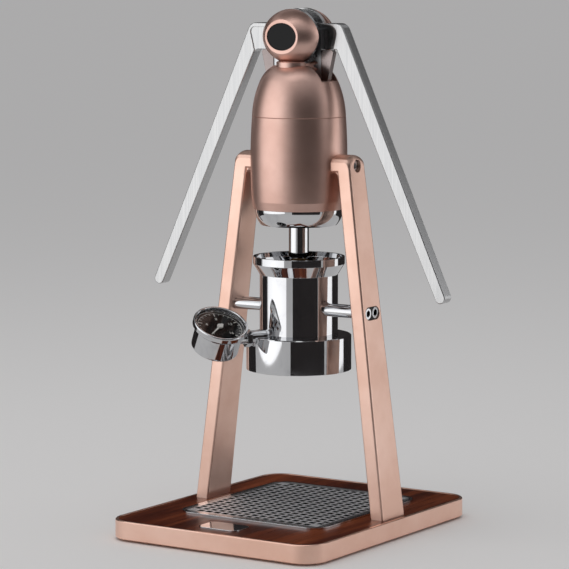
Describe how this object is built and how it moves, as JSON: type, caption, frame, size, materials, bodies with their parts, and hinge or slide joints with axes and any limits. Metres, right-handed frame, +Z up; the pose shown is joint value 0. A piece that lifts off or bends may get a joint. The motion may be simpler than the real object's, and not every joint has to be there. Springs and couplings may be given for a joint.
{
  "type": "manual lever espresso maker",
  "caption": "Manual lever espresso maker: arms on a shared axle drive a piston through pinions and a rack yoke, above a bayonet group, on a footed base with a drip tray.",
  "frame": {"origin": "middle of the base's footprint, at the underside of the rubber feet", "axes": "+Z up, -Y towards the front, +X from the left leg to the right leg"},
  "size_m": [0.2434, 0.219, 0.3774],
  "materials": {
    "rose_gold": "polished rose-gold plating",
    "chrome": "polished",
    "steel": "satin",
    "polished_aluminium": "polished",
    "walnut": "oiled",
    "rubber": "matte",
    "black_plastic": "fine matte",
    "bronze": "turned",
    "dial": "matte",
    "needle": "matte",
    "glass": "clear"
  },
  "bodies": {
    "frame": {"base_frame": "rose_gold", "wood_inlay": "walnut", "rubber_feet": "rubber", "left_leg": "rose_gold", "right_leg": "rose_gold", "leg_foot_screws": "steel", "leg_top_screws": "steel", "left_support_rods": "chrome", "right_support_rods": "chrome", "rod_grommets": "rubber", "brew_chamber": "chrome", "group_ring": "chrome", "group_gasket": "rubber", "shower_screen": "chrome", "screen_screw": "steel", "lower_body": "rose_gold", "bottom_collar": "chrome", "shaft_bushing": "bronze", "dome": "rose_gold", "rack_guide": "chrome", "guide_screws": "steel", "front_cheek": "rose_gold", "rear_cheek": "rose_gold", "front_disc": "black_plastic", "rear_disc": "black_plastic", "pivot_axle": "steel", "thrust_washers": "steel", "gauge_stem": "chrome", "gauge_case": "chrome", "gauge_dial": "dial", "gauge_glass": "glass", "gauge_bezel": "chrome"},
    "left_lever": {"left_lever": "polished_aluminium", "left_pinion": "steel", "left_drive_pins": "steel"},
    "right_lever": {"right_lever": "polished_aluminium", "right_pinion": "steel", "right_drive_pins": "steel"},
    "piston": {"rack_yoke": "steel", "piston_rod": "chrome", "piston_head": "chrome", "piston_seals": "rubber"},
    "needle": {"gauge_needle": "needle"},
    "drip_pan": {"drip_pan": "chrome"},
    "drip_grille": {"drip_grille": "steel"}
  },
  "joints": [
    {"name": "right_lever_turn", "type": "hinge", "parent": "frame", "child": "right_lever", "pos_m": [0, 0.009, 0.3574], "axis": [0, -1, 0], "range_deg": [0, 110]},
    {"name": "left_lever_turn", "type": "hinge", "parent": "frame", "child": "left_lever", "pos_m": [0, 0.009, 0.3574], "axis": [0, 1, 0], "range_deg": [0, 110]},
    {"name": "piston_slide", "type": "slide", "parent": "frame", "child": "piston", "axis": [0, 0, 1], "range_m": [0, 0.026]},
    {"name": "needle_turn", "type": "hinge", "parent": "frame", "child": "needle", "pos_m": [-0.03355, -0.04795, 0.1408], "axis": [-0.4308, 0.2538, -0.866], "range_deg": [0, 270], "stiffness_Nm_per_rad": 0.002},
    {"name": "pan_lift", "type": "slide", "parent": "frame", "child": "drip_pan", "axis": [0, 0, 1], "range_m": [0, 0.04]},
    {"name": "grille_lift", "type": "slide", "parent": "drip_pan", "child": "drip_grille", "axis": [0, 0, 1], "range_m": [0, 0.03]}
  ],
  "couplings": [
    {"joint": "left_lever_turn", "follows": "right_lever_turn", "ratio": 1},
    {"joint": "piston_slide", "follows": "right_lever_turn", "m_per_rad": 0.0135}
  ]
}
